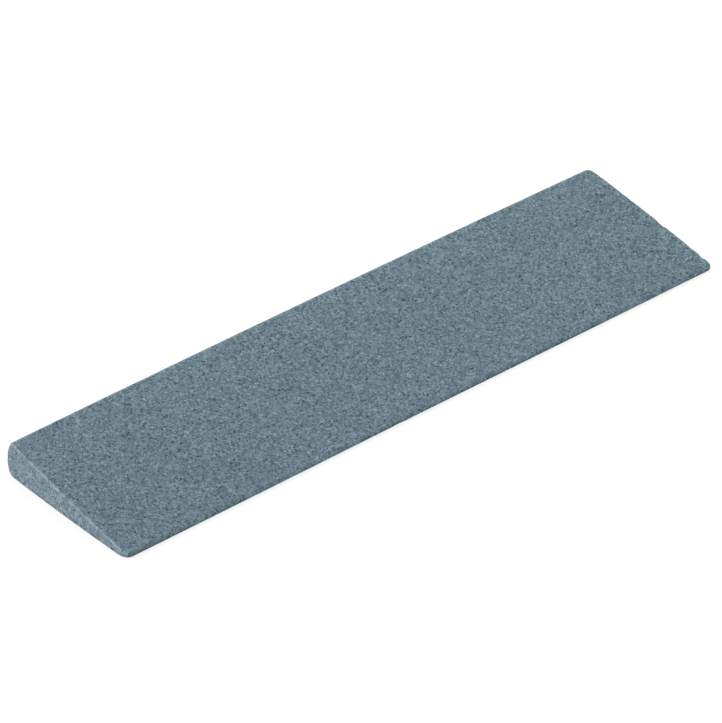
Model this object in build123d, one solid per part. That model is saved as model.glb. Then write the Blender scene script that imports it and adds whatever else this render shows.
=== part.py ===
from build123d import *
import math
import os

# A wedge-section slip stone, pressed from silicon carbide grit and fired in one piece.
#
# The stone lies on one of its two working faces, at Z = 0.  X runs along its length, the thin
# rounded edge is at -Y and the thick one at +Y.  The origin is under the middle of the stone.
# All sizes are in millimetres.

# Driving dimensions
LENGTH = 100.0            # end to end
WIDTH = 25.0              # tip of the thin edge to the crown of the thick edge
THICK_EDGE = 5.4          # across the two corners of the thick edge
THIN_EDGE = 1.0           # across the thin edge, which is rounded right over
CROWN = 0.9               # how far the thick edge swells past its two corners
UPPER_ARRIS = 0.5         # radius where the thick edge meets the upper face
LOWER_ARRIS = 1.4         # radius where the thick edge meets the face that it lies on
END_ARRIS = 0.25          # softening of every edge around the two ends


def half_wedge_angle():
    """Angle, in radians, between each working face and the plane midway between them."""
    tip_radius = THIN_EDGE / 2
    run = WIDTH - CROWN - tip_radius
    rise = THICK_EDGE / 2
    return math.atan2(rise, run) - math.asin(tip_radius / math.hypot(run, rise))


def section():
    """The wedge about its own mid line: the thin tip at the origin, growing along local X."""
    angle = math.degrees(half_wedge_angle())
    tip_radius = THIN_EDGE / 2
    tip_centre = Vector(tip_radius, 0)
    upper_tangent = tip_centre + Vector(0, tip_radius).rotate(Axis.Z, angle)
    lower_tangent = tip_centre + Vector(0, -tip_radius).rotate(Axis.Z, -angle)
    upper_corner = Vector(WIDTH - CROWN, THICK_EDGE / 2)
    lower_corner = Vector(WIDTH - CROWN, -THICK_EDGE / 2)
    with BuildSketch() as wedge:
        with BuildLine():
            ThreePointArc(upper_tangent, Vector(0, 0), lower_tangent)
            Line(lower_tangent, lower_corner)
            ThreePointArc(lower_corner, Vector(WIDTH, 0), upper_corner)
            Line(upper_corner, upper_tangent)
        make_face()
        fillet(wedge.vertices().sort_by_distance(upper_corner)[0], UPPER_ARRIS)
        fillet(wedge.vertices().sort_by_distance(lower_corner)[0], LOWER_ARRIS)
    return wedge.sketch


def slip_stone():
    """The whole stone, turned to lie flat and centred over the origin."""
    bar = extrude(Plane.YZ * section(), amount=LENGTH / 2, both=True)
    ends = bar.faces().filter_by(Axis.X).edges()
    bar = fillet(ends, END_ARRIS)
    bar = bar.rotate(Axis.X, math.degrees(half_wedge_angle()))
    box = bar.bounding_box()
    stone = bar.translate((0, -box.center().Y, -box.min.Z))
    stone.label = "slip_stone"
    return stone


def main():
    os.makedirs("parts", exist_ok=True)
    stone = slip_stone()
    export_step(stone, "parts/slip_stone.step")
    print("wedge angle", round(2 * math.degrees(half_wedge_angle()), 2), "degrees")
    print("size", stone.bounding_box().size, "volume", round(stone.volume, 1))


main()
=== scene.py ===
import math

import bmesh
import bpy
from mathutils import Matrix, Vector, noise


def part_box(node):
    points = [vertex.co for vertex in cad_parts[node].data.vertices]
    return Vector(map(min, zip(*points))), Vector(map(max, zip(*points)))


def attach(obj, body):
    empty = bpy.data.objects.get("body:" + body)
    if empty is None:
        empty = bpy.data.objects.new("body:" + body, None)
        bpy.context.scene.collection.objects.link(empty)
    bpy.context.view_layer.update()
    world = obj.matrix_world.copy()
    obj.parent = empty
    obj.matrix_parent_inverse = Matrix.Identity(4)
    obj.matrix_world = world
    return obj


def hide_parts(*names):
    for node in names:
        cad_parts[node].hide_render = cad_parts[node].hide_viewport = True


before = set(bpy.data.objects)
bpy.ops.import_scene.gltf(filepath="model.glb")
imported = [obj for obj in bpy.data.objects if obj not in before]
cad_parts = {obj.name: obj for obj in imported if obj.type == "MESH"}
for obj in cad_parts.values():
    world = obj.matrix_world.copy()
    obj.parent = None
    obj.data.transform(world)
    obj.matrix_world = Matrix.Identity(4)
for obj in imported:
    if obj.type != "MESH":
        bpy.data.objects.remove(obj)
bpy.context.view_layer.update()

# A wedge-section slip stone of fired silicon carbide grit, lying on its lower working face.
# X runs along the stone, the thin rounded edge is at -Y and the thick one at +Y.
#
# The mesh is built about the plane midway between the two working faces: S runs from the thin
# tip to the thick edge, H is the height off that plane.  It is then turned to lie flat.

MM = 0.001

# ---- the stone's section and ends, as in the CAD source ----
stone_low, stone_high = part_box("slip_stone")
LENGTH = stone_high.x - stone_low.x
WIDTH = 25.0 * MM             # thin tip to the crown of the thick edge
THICK_EDGE = 5.4 * MM
THIN_EDGE = 1.0 * MM
CROWN = 0.9 * MM              # how far the thick edge swells past its two corners
UPPER_ARRIS = 0.5 * MM
LOWER_ARRIS = 1.4 * MM
END_ARRIS = 0.25 * MM

TIP_RADIUS = THIN_EDGE / 2
CROWN_RADIUS = ((THICK_EDGE / 2) ** 2 + CROWN ** 2) / (2 * CROWN)

# ---- how finely the surface is divided ----
FACE_STEP = 0.29 * MM         # on the flat faces
ARC_STEP = 0.16 * MM          # around the rounded edges
EDGE_ROWS = (0.07 * MM, 0.18 * MM)    # extra rows of points beside each edge
END_STEPS = 4                 # rows of faces around each softened end edge
CAP_RINGS = 8                 # rings of faces from an end's edge in to its mid line
SPINE_STEP = 0.62 * MM        # faces along an end's mid line

# ---- how the fired stone departs from the CAD surface, always inward ----
# In each pair of sizes the first is at -X and the second at +X.
# The corners are blunted as seen from above.
THICK_CORNERS = (0.30 * MM, 0.90 * MM)
THIN_CORNERS = (1.15 * MM, 0.75 * MM)
BOW = 0.30 * MM               # the thick edge draws in this far towards its two ends
END_DRAWS = (0.61 * MM, 0.53 * MM)    # each end draws in this far towards the thick edge
HOLLOW = 0.08 * MM            # the thin edge is worn in this far at its middle
HOLLOW_REACH = 20 * MM
UNEVENNESS = 0.024 * MM       # slow moulding waves in the faces
UNEVENNESS_SIZE = 14.0 * MM
GRIT_RELIEF = 0.022 * MM      # clusters of grit
GRIT_RELIEF_SIZE = 0.75 * MM
GRAIN_RELIEF = 0.010 * MM     # single grains
GRAIN_RELIEF_SIZE = 0.33 * MM
CRUMBLE = 0.05 * MM           # grains lost along the edges
CRUMBLE_SIZE = 0.9 * MM
CRUMBLE_RANGE = (0.05, 0.5)   # noise levels between which the loss goes from none to all
CRUMBLE_PLACE = Vector((7.3, 1.9, 4.1))
CHIP = 0.22 * MM              # the few larger nicks in the edges
CHIP_SIZE = 2.1 * MM
CHIP_RANGE = (0.46, 0.66)
CHIP_PLACE = Vector((4.6, 1.3, 9.2))

# ---- how worn each edge is, with painted light laid on some: 0 is untouched, 1 is the most ----
# wear on the end edges, with a painted highlight along their upper sides
END_WEAR_AND_HIGHLIGHT = 1.0
END_FACE_SIDE = 0.6           # the share of it where the softened edge meets the end's face
UPPER_WEAR = 0.55
LOWER_WEAR = 0.25
# the thin edge's wear, which also paints light onto its shaded rounding
TIP_WEAR_AND_LIGHT = 0.20
WEAR_AND_LIGHT_REACH = 0.05 * MM        # how far the wear and painted light run past an edge onto the flat
THICK_SIDE_LIGHT = 0.11                    # painted light: the upper face is painted paler in a strip beside the thick edge
THICK_SIDE_LIGHT_REACH = 3.5 * MM
END_SIDE_LIGHT = 0.16                # and painted paler beside the +X end
END_SIDE_LIGHT_REACH = 1.6 * MM
FACE_UP = 0.9                 # the normal's least H on the upper face, where that strip is

# An end edge gets a painted highlight, paler on its upper side than underneath: from one to the
# other over this range of the normal's H, down to the share of the wear that the underside gets.
FACING_UP_RANGE = (-0.6, 0.4)
UNDER_SHARE = 0.15

# ---- painted shade along the thin edge, where it comes down to the floor, as (share of the way
# ---- from its upper face to its lower one, darkness); above 1 it is near black even in the
# fainter patches ----
CONTACT_SHADE = ((0.0, 0.0), (0.36, 0.0), (0.56, 1.2), (1.0, 1.2))
CONTACT_SHADE_REACH = 0.35 * MM
UNDER_END_SHADE = 0.30            # painted shade along the undersides of the two ends, where they meet the floor


# ---------------------------------------------------------------- the outline of the section

def half_wedge_angle():
    """Angle, in radians, between each working face and the plane midway between them."""
    run = WIDTH - CROWN - TIP_RADIUS
    rise = THICK_EDGE / 2
    return math.atan2(rise, run) - math.asin(TIP_RADIUS / math.hypot(run, rise))


def corner_centre(side, radius, crown_centre):
    """Centre of the arc that rounds a thick-edge corner, inside the face and the crown."""
    angle = half_wedge_angle()
    along = Vector((-math.cos(angle), -side * math.sin(angle)))
    inward = Vector((math.sin(angle), -side * math.cos(angle)))
    start = Vector((WIDTH - CROWN, side * THICK_EDGE / 2)) + inward * radius
    gap = start - crown_centre
    half_b = along.dot(gap)
    reach = CROWN_RADIUS - radius
    return start + along * (-half_b - math.sqrt(half_b ** 2 - gap.length_squared + reach ** 2))


def spaced(span):
    """Distances along a flat stretch, both ends left out, closer together near the ends."""
    close, clear = EDGE_ROWS
    steps = math.ceil((span - 2 * clear) / FACE_STEP)
    inner = [clear + (span - 2 * clear) * i / steps for i in range(steps + 1)]
    return [close] + inner + [span - close]


def smooth_step(low, high, value):
    t = min(max((value - low) / (high - low), 0.0), 1.0)
    return t * t * (3 - 2 * t)


def faded(level, distance, reach):
    return level * math.exp(-(distance / reach) ** 2)


def contact_shade_at(share):
    """The painted shade at a share of the way round the thin edge."""
    for (start, low), (stop, high) in zip(CONTACT_SHADE, CONTACT_SHADE[1:]):
        if share <= stop:
            return low + (high - low) * (share - start) / (stop - start)
    return CONTACT_SHADE[-1][1]


def outline():
    """Points round the section, as (point, outward normal, wear and painted light, painted
    shade).
    """
    angle = half_wedge_angle()
    tip = Vector((TIP_RADIUS, 0))
    crown = Vector((WIDTH - CROWN_RADIUS, 0))
    lower = corner_centre(-1, LOWER_ARRIS, crown)
    upper = corner_centre(1, UPPER_ARRIS, crown)
    lower_turn = math.atan2(lower.y, lower.x - crown.x)
    upper_turn = math.atan2(upper.y, upper.x - crown.x)
    face_down = -math.pi / 2 - angle
    face_up = math.pi / 2 + angle
    arcs = [
        (tip, TIP_RADIUS, face_up, 2 * math.pi + face_down, TIP_WEAR_AND_LIGHT),
        (lower, LOWER_ARRIS, face_down, lower_turn, LOWER_WEAR),
        (crown, CROWN_RADIUS, lower_turn, upper_turn, 0.0),
        (upper, UPPER_ARRIS, upper_turn, face_up, UPPER_WEAR),
    ]
    points = []
    for index, (centre, radius, start, stop, wear_and_light) in enumerate(arcs):
        steps = max(3, math.ceil(abs(stop - start) * radius / ARC_STEP))
        for i in range(steps + 1):
            turn = start + (stop - start) * i / steps
            normal = Vector((math.cos(turn), math.sin(turn)))
            point = centre + normal * radius
            # Painted shade round the thin edge, darkest on its underside where it meets the
            # floor.
            contact_shade = contact_shade_at(i / steps) if centre is tip else 0.0
            if not points or (point - points[-1][0]).length > ARC_STEP / 4:
                points.append((point, normal, wear_and_light, contact_shade))

        # A flat face leads on to the next arc, unless that arc starts where this one ends.
        next_centre, next_radius, _, _, next_wear_and_light = arcs[(index + 1) % len(arcs)]
        end = next_centre + normal * next_radius
        span = (end - point).length
        if span <= FACE_STEP:
            continue
        on_upper_face = next_centre is tip
        for run in spaced(span):
            left = span - run
            fade = max(faded(wear_and_light, run, WEAR_AND_LIGHT_REACH), faded(next_wear_and_light, left, WEAR_AND_LIGHT_REACH))
            if on_upper_face:
                # A strip of painted light on the upper face beside the thick edge.
                fade = max(fade, faded(THICK_SIDE_LIGHT, run, THICK_SIDE_LIGHT_REACH))
                # The painted shade from the thin edge's upper side, fading onto the upper face.
                contact_shade = faded(contact_shade_at(0.0), left, CONTACT_SHADE_REACH)
            else:
                # Painted shade on the lower face beside the thin edge, where the stone meets the
                # floor.
                contact_shade = faded(contact_shade_at(1.0), run, CONTACT_SHADE_REACH)
            points.append((point.lerp(end, run / span), normal.copy(), fade, contact_shade))
    return points


# ---------------------------------------------------------------- the stone's mesh

def rings():
    """The rings of points from one end to the other: (x, inset, share of the way in, wear and
    painted highlight).
    """
    half = LENGTH / 2
    end = [(half, END_ARRIS, i / CAP_RINGS, 0.0) for i in range(CAP_RINGS - 1, 0, -1)]
    for i in range(END_STEPS, 0, -1):
        turn = math.pi / 2 * i / END_STEPS
        inset = END_ARRIS * (1 - math.cos(turn))
        wear_and_light = END_WEAR_AND_HIGHLIGHT * (1.0 if i < END_STEPS else END_FACE_SIDE)
        end.append((half - END_ARRIS * (1 - math.sin(turn)), inset, 0.0, wear_and_light))
    flat = half - END_ARRIS
    middle = [(run - flat, 0.0, 0.0, 0.0) for run in [0.0] + spaced(2 * flat) + [2 * flat]]
    mirrored = [(-x, inset, share, wear_and_light) for x, inset, share, wear_and_light in end]
    return mirrored + middle + end[::-1]


def shaped(at):
    """A point of the CAD stone, with its corners blunted, its thick edge bowed, its ends drawn
    in and its thin edge worn."""
    x, s, h = at
    crown_s = WIDTH - CROWN_RADIUS + math.sqrt(CROWN_RADIUS ** 2 - h * h)
    low = min(abs(h), TIP_RADIUS)
    tip_s = TIP_RADIUS - math.sqrt(TIP_RADIUS ** 2 - low * low)
    from_end = LENGTH / 2 - abs(x)
    end = x > 0
    for edge, way, radius in ((crown_s, -1, THICK_CORNERS[end]), (tip_s, 1, THIN_CORNERS[end])):
        a = radius - from_end
        b = radius - (s - edge) * way
        if a > 0 and b > 0:
            shrink = max(a, b) / math.hypot(a, b)
            x = math.copysign(LENGTH / 2 - radius + a * shrink, x)
            s = edge + way * (radius - b * shrink)
            break
    across = s / WIDTH
    x -= 2 * x / LENGTH * END_DRAWS[end] * across ** 2
    s -= (2 * x / LENGTH) ** 2 * BOW * across
    s += faded(HOLLOW, x, HOLLOW_REACH) * (1 - across) ** 2
    return Vector((x, s, h))


class BakeMap:
    """Where each point of the stone lies in the bake image: its sides above, its ends below."""

    FILL = 0.97               # share of the image's width that the stone's length takes
    SIDE_LOW, SIDE_HIGH = 0.19, 0.99
    END_MIDDLE = (0.25, 0.75)
    END_LOW = 0.09
    END_STRETCH = (1.8, 2.4)  # the ends are small, so they are drawn larger

    def __init__(self, loop):
        self.scale = self.FILL / LENGTH
        self.run = [0.0]
        for i, (point, *_) in enumerate(loop):
            following = loop[(i + 1) % len(loop)][0]
            self.run.append(self.run[-1] + (following - point).length)

    def side(self, x, inset, index):
        along = x + math.copysign(inset / 2, x)
        across = self.run[index] / self.run[-1]
        return (0.5 + along * self.scale,
                self.SIDE_LOW + across * (self.SIDE_HIGH - self.SIDE_LOW))

    def end(self, at):
        way = math.copysign(1, at.x)
        middle = self.END_MIDDLE[way > 0]
        return (middle + way * (at.y - WIDTH / 2) * self.scale * self.END_STRETCH[0],
                self.END_LOW + at.z * self.scale * self.END_STRETCH[1])


SPINE_HIGH = WIDTH - THICK_EDGE / 2


def spine_at(at):
    """The point of an end's mid line that a point of its edge closes onto."""
    return Vector((min(max(at.x, TIP_RADIUS), SPINE_HIGH), 0))


def build_stone():
    loop = outline()
    ends_and_sides = rings()
    count = len(loop)
    bake = BakeMap(loop)
    mesh = bmesh.new()
    # Edge wear with painted light laid on it, and painted shade where the stone meets the floor.
    wear_and_light_layer = mesh.verts.layers.float.new("wear_and_light")
    contact_shade_layer = mesh.verts.layers.float.new("contact_shade")
    bake_layer = mesh.loops.layers.uv.new("OFBake")

    grid = []
    for x, inset, share, ring_wear_and_light in ends_and_sides:
        row = []
        for point, normal, edge_wear_and_light, contact_shade in loop:
            at = point - normal * inset
            spine = spine_at(at)
            # Painted highlight along an end edge's upper side, painted shade along its
            # underside.
            facing_up = smooth_step(*FACING_UP_RANGE, normal.y)
            end_wear_and_light = UNDER_SHARE + (1 - UNDER_SHARE) * facing_up
            end_shade = UNDER_END_SHADE * (1 - facing_up)
            vert = mesh.verts.new((x, *at.lerp(spine, share)))
            if share > 0:
                from_edge = (at - spine).length * share
                vert[wear_and_light_layer] = faded(END_WEAR_AND_HIGHLIGHT * end_wear_and_light, from_edge, WEAR_AND_LIGHT_REACH)
                vert[contact_shade_layer] = faded(end_shade, from_edge, CONTACT_SHADE_REACH)
            else:
                # A strip of painted light on the upper face beside the +X end.
                side_light = 0.0
                if normal.y > FACE_UP:
                    side_light = faded(END_SIDE_LIGHT, LENGTH / 2 - x, END_SIDE_LIGHT_REACH)
                vert[wear_and_light_layer] = max(ring_wear_and_light * end_wear_and_light, edge_wear_and_light, side_light)
                vert[contact_shade_layer] = max(ring_wear_and_light * end_shade, contact_shade)
            row.append(vert)
        grid.append(row)

    for j in range(len(grid) - 1):
        near, far = ends_and_sides[j], ends_and_sides[j + 1]
        on_end = near[2] > 0 or far[2] > 0
        for i in range(count):
            k = (i + 1) % count
            face = mesh.faces.new((grid[j][i], grid[j][k], grid[j + 1][k], grid[j + 1][i]))
            places = ((near, i), (near, i + 1), (far, i + 1), (far, i))
            for corner, (ring, index) in zip(face.loops, places):
                if on_end:
                    corner[bake_layer].uv = bake.end(corner.vert.co)
                else:
                    corner[bake_layer].uv = bake.side(ring[0], ring[1], index)

    # Each end closes onto points along its mid line.
    for row, x in ((grid[0], -LENGTH / 2), (grid[-1], LENGTH / 2)):
        spine_verts = {}
        indices = []
        for point, normal, *_ in loop:
            at = spine_at(point - normal * END_ARRIS)
            index = round((at.x - TIP_RADIUS) / SPINE_STEP)
            indices.append(index)
            if index not in spine_verts:
                s = min(TIP_RADIUS + index * SPINE_STEP, SPINE_HIGH)
                spine_verts[index] = mesh.verts.new((x, s, 0))
        for i in range(count):
            k = (i + 1) % count
            corners = [row[i], row[k], spine_verts[indices[k]], spine_verts[indices[i]]]
            if corners[2] is corners[3]:
                corners.pop()
            face = mesh.faces.new(corners)
            for corner in face.loops:
                corner[bake_layer].uv = bake.end(corner.vert.co)

    for vert in mesh.verts:
        vert.co = shaped(vert.co)
    bmesh.ops.recalc_face_normals(mesh, faces=mesh.faces)
    data = bpy.data.meshes.new("stone_body")
    mesh.to_mesh(data)
    mesh.free()
    lay_down(data, loop)
    data.polygons.foreach_set("use_smooth", [True] * len(data.polygons))
    return add_object("stone_body", data)


def lay_down(data, loop):
    """Turns the stone onto its lower face, in the place that the CAD gives it."""
    turn = Matrix.Rotation(half_wedge_angle(), 4, "X")
    turned = [turn @ Vector((0, *point)) for point, *_ in loop]
    low_y = min(at.y for at in turned)
    low_z = min(at.z for at in turned)
    data.transform(Matrix.Translation((0, stone_low.y - low_y, stone_low.z - low_z)) @ turn)


def dip(at, size, depth):
    """A depth between nothing and the full one, wandering over the given size."""
    return depth * (0.5 - 0.5 * noise.noise(at / size))


def roughen(stone):
    """Moves each point in from the CAD surface: moulding waves, grit, and edges that crumble."""
    data = stone.data
    wear_and_light = data.attributes["wear_and_light"].data
    normals = [v.normal.copy() for v in data.vertices]
    for v, normal, worn_and_lit in zip(data.vertices, normals, wear_and_light):
        at = v.co
        depth = dip(at, UNEVENNESS_SIZE, UNEVENNESS)
        depth += dip(at, GRIT_RELIEF_SIZE, GRIT_RELIEF)
        depth += dip(at, GRAIN_RELIEF_SIZE, GRAIN_RELIEF)
        lost = smooth_step(*CRUMBLE_RANGE, noise.noise(at / CRUMBLE_SIZE + CRUMBLE_PLACE))
        chip = smooth_step(*CHIP_RANGE, noise.noise(at / CHIP_SIZE + CHIP_PLACE))
        depth += worn_and_lit.value * (CRUMBLE * lost + CHIP * chip)
        v.co = at - normal * depth


# ---------------------------------------------------------------- the fired grit material

# Colours are linear.
DARK_GRIT = (0.0095, 0.036, 0.052)
LIGHT_GRIT = (0.184, 0.270, 0.315)

# What sets the shade of each spot, as (how many to a millimetre, how much it moves the shade).
GRAIN = (3.8, 0.41)
SMALL_GRAIN = (6.0, 0.17)
ODD_GRAIN = (4.6, 0.85)
CLUSTER = (2.4, 0.13)
FINE_CLOUD = (5.0, 0.36)
SOFT_CLOUD = (1.1, 0.21)
SLOW_CLOUD = (0.045, 0.08)

# The ramps are (position, level) pairs.  One odd grain in seven is near black or pale.
ODD_SHADES = [(0.0, 0.08), (0.065, 0.08), (0.085, 0.5), (0.915, 0.5), (0.935, 0.96)]
GRAIN_ROUGHNESS = [(0.0, 0.92), (0.80, 0.80), (0.93, 0.38), (1.0, 0.30)]

# How much the wear, with its painted light, pales the stone, in patches.
WEAR_AND_LIGHT_LIFT = 0.40
WEAR_AND_LIGHT_PATCHES_PER_MM = 0.45
WEAR_AND_LIGHT_PATCHES_DETAIL = 3.0
WEAR_AND_LIGHT_PATCHES = [(0.36, 0.3), (0.56, 1.0)]
# How much the painted shade where the stone meets the floor darkens it, in patches.
CONTACT_SHADE_DARKENS = 0.40
CONTACT_SHADE_PATCHES_PER_MM = 0.05
CONTACT_SHADE_PATCHES = [(0.42, 0.25), (0.58, 1.0)]

GRIT_IOR = 1.55
GRIT_SPECULAR = 0.30
BUMP_STRENGTH = 0.55
BUMP_DISTANCE = 0.05 * MM


class Nodes:
    """A material's node tree, with short calls for the nodes that this stone needs."""

    def __init__(self, name):
        self.material = bpy.data.materials.new(name)
        self.material.use_nodes = True
        self.tree = self.material.node_tree
        self.tree.nodes.clear()

    def new(self, kind, **settings):
        node = self.tree.nodes.new("ShaderNode" + kind)
        for key, value in settings.items():
            setattr(node, key, value)
        return node

    def link(self, source, target):
        self.tree.links.new(source, target)

    def shader(self):
        """The principled shader, joined to the material's surface."""
        node = self.new("BsdfPrincipled")
        self.link(node.outputs[0], self.new("OutputMaterial").inputs["Surface"])
        return node

    def math(self, operation, *values, clamp=False):
        node = self.new("Math", operation=operation, use_clamp=clamp)
        for socket, value in zip(node.inputs, values):
            if isinstance(value, (int, float)):
                socket.default_value = value
            else:
                self.link(value, socket)
        return node.outputs[0]

    def mixture(self, parts, middle=0.5):
        """The middle level, pushed up and down by each (0..1 value, weight) in turn."""
        total = middle - sum(weight for _, weight in parts) / 2
        for value, weight in parts:
            total = self.math("MULTIPLY_ADD", value, weight, total)
        return total

    def ramp(self, value, stops):
        """Grey levels over 0..1: stops are (position, level)."""
        node = self.new("ValToRGB")
        elements = node.color_ramp.elements
        while len(elements) < len(stops):
            elements.new(0.5)
        for element, (position, level) in zip(elements, stops):
            element.position = position
            element.color = (level, level, level, 1)
        self.link(value, node.inputs["Fac"])
        return node.outputs["Color"]

    def cells(self, where, per_mm):
        """Grains: the distance from each one's middle, and three random numbers for it."""
        node = self.new("TexVoronoi", voronoi_dimensions="3D", feature="F1")
        node.inputs["Scale"].default_value = per_mm / MM
        self.link(where, node.inputs["Vector"])
        split = self.new("SeparateColor")
        self.link(node.outputs["Color"], split.inputs[0])
        return node.outputs["Distance"], split.outputs

    def cloud(self, where, per_mm, detail=2.0):
        node = self.new("TexNoise", noise_dimensions="3D")
        node.inputs["Scale"].default_value = per_mm / MM
        node.inputs["Detail"].default_value = detail
        self.link(where, node.inputs["Vector"])
        return node.outputs["Fac"]

    def attribute(self, name):
        """A number that the mesh holds at each point."""
        node = self.new("Attribute", attribute_name=name, attribute_type="GEOMETRY")
        return node.outputs["Fac"]


def grit_material():
    n = Nodes("fired_silicon_carbide")
    shader = n.shader()
    where = n.new("TexCoord").outputs["Object"]

    grain_distance, grain = n.cells(where, GRAIN[0])
    _, small_grain = n.cells(where, SMALL_GRAIN[0])
    _, odd_grain = n.cells(where, ODD_GRAIN[0])
    _, cluster = n.cells(where, CLUSTER[0])
    fine = n.cloud(where, FINE_CLOUD[0])
    soft = n.cloud(where, SOFT_CLOUD[0])
    slow = n.cloud(where, SLOW_CLOUD[0])

    # Each grain has its own shade.
    shade = n.mixture([(n.ramp(odd_grain[0], ODD_SHADES), ODD_GRAIN[1]),
                       (grain[0], GRAIN[1]),
                       (small_grain[0], SMALL_GRAIN[1]),
                       (cluster[0], CLUSTER[1]),
                       (fine, FINE_CLOUD[1]),
                       (soft, SOFT_CLOUD[1]),
                       (slow, SLOW_CLOUD[1])])

    # Worn edges are paler, painted light pales a few places more, and painted shade darkens the
    # stone where it meets the floor; both in patches.
    wear_and_light_patches = n.cloud(where, WEAR_AND_LIGHT_PATCHES_PER_MM, WEAR_AND_LIGHT_PATCHES_DETAIL)
    worn_and_lit = n.math("MULTIPLY", n.attribute("wear_and_light"), n.ramp(wear_and_light_patches, WEAR_AND_LIGHT_PATCHES))
    contact_shade_patches = n.cloud(where, CONTACT_SHADE_PATCHES_PER_MM)
    contact_shaded = n.math("MULTIPLY", n.attribute("contact_shade"), n.ramp(contact_shade_patches, CONTACT_SHADE_PATCHES))
    shade = n.math("MULTIPLY_ADD", worn_and_lit, WEAR_AND_LIGHT_LIFT, shade)
    shade = n.math("MULTIPLY_ADD", contact_shaded, -CONTACT_SHADE_DARKENS, shade, clamp=True)

    color = n.new("Mix", data_type="RGBA")
    n.link(shade, color.inputs["Factor"])
    color.inputs["A"].default_value = (*DARK_GRIT, 1)
    color.inputs["B"].default_value = (*LIGHT_GRIT, 1)
    n.link(color.outputs["Result"], shader.inputs["Base Color"])

    # Broken grain faces shine a little; the bond between them doesn't.
    n.link(n.ramp(grain[2], GRAIN_ROUGHNESS), shader.inputs["Roughness"])
    shader.inputs["IOR"].default_value = GRIT_IOR
    shader.inputs["Specular IOR Level"].default_value = GRIT_SPECULAR

    # Domed grains, standing at different heights.
    height = n.mixture([(grain_distance, -1.0), (grain[1], 0.9), (fine, 0.6)])
    bump = n.new("Bump")
    bump.inputs["Strength"].default_value = BUMP_STRENGTH
    bump.inputs["Distance"].default_value = BUMP_DISTANCE
    n.link(height, bump.inputs["Height"])
    n.link(bump.outputs[0], shader.inputs["Normal"])
    return n.material


# ---------------------------------------------------------------- floor, light and camera

FLOOR_HALF = 1.5
FLOOR_COLOR = (0.22, 0.22, 0.22, 1)
FLOOR_ROUGHNESS = 0.9
FLOOR_GLOW = 0.79             # light coming up through the floor, which makes the shadow faint

SKY = 0.92
KEY_FROM = Vector((-0.93, 0.25, 0.26))
KEY_DISTANCE = 1.2
KEY_SIZE = 0.67
KEY_POWER = 11.9
KEY_COLOR = (1.0, 0.83, 0.80)
FILL_FROM = Vector((0.20, 0.16, 0.27))
FILL_SIZE = 0.25
FILL_POWER = 0.38
FILL_COLOR = (1.0, 1.0, 1.0)

CAMERA_AZIMUTH = -40.956
CAMERA_ELEVATION = 33.671
CAMERA_ROLL = -0.215
CAMERA_DISTANCE = 720.7 * MM
CAMERA_LENS = 277.52
CAMERA_CLIP_START = 10 * MM
CAMERA_AIM = Vector((0.691, 1.928, -2.666)) * MM      # from the middle of the stone's box


def add_object(name, data):
    thing = bpy.data.objects.new(name, data)
    bpy.context.scene.collection.objects.link(thing)
    return thing


def look_from(thing, position, aim, roll=0.0):
    turn = (aim - position).to_track_quat("-Z", "Y").to_matrix()
    thing.rotation_mode = "QUATERNION"
    thing.rotation_quaternion = (turn @ Matrix.Rotation(roll, 3, "Z")).to_quaternion()
    thing.location = position


def build_floor():
    data = bpy.data.meshes.new("floor")
    corners = [(x, y, 0) for x, y in ((-1, -1), (1, -1), (1, 1), (-1, 1))]
    data.from_pydata([Vector(c) * FLOOR_HALF for c in corners], [], [(0, 1, 2, 3)])
    floor = add_object("floor", data)
    n = Nodes("pale_floor")
    shader = n.shader()
    shader.inputs["Base Color"].default_value = FLOOR_COLOR
    shader.inputs["Roughness"].default_value = FLOOR_ROUGHNESS
    shader.inputs["Specular IOR Level"].default_value = 0.0
    shader.inputs["Emission Color"].default_value = (1, 1, 1, 1)
    shader.inputs["Emission Strength"].default_value = FLOOR_GLOW
    data.materials.append(n.material)


def build_light():
    world = bpy.data.worlds.new("studio")
    world.use_nodes = True
    sky = world.node_tree.nodes["Background"]
    sky.inputs["Color"].default_value = (1, 1, 1, 1)
    sky.inputs["Strength"].default_value = SKY
    bpy.context.scene.world = world
    softboxes = (
        ("key", KEY_FROM.normalized() * KEY_DISTANCE, KEY_SIZE, KEY_POWER, KEY_COLOR),
        ("fill", FILL_FROM, FILL_SIZE, FILL_POWER, FILL_COLOR),
    )
    for name, position, size, power, color in softboxes:
        lamp = bpy.data.lights.new(name, "AREA")
        lamp.shape = "DISK"
        lamp.size = size
        lamp.energy = power
        lamp.color = color
        look_from(add_object(name, lamp), position, Vector((0, 0, 0)))


def build_camera():
    data = bpy.data.cameras.new("camera")
    data.lens = CAMERA_LENS
    data.clip_start = CAMERA_CLIP_START
    camera = add_object("camera", data)
    azimuth = math.radians(CAMERA_AZIMUTH)
    elevation = math.radians(CAMERA_ELEVATION)
    back = Vector((math.sin(azimuth) * math.cos(elevation),
                   -math.cos(azimuth) * math.cos(elevation),
                   math.sin(elevation)))
    aim = (stone_low + stone_high) / 2 + CAMERA_AIM
    look_from(camera, aim + back * CAMERA_DISTANCE, aim, math.radians(CAMERA_ROLL))
    bpy.context.scene.camera = camera


# ---------------------------------------------------------------- making it

stone = build_stone()
roughen(stone)
stone.data.materials.append(grit_material())
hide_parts("slip_stone")
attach(stone, "root")
build_floor()
build_light()
build_camera()
bpy.context.scene.view_settings.view_transform = "Standard"
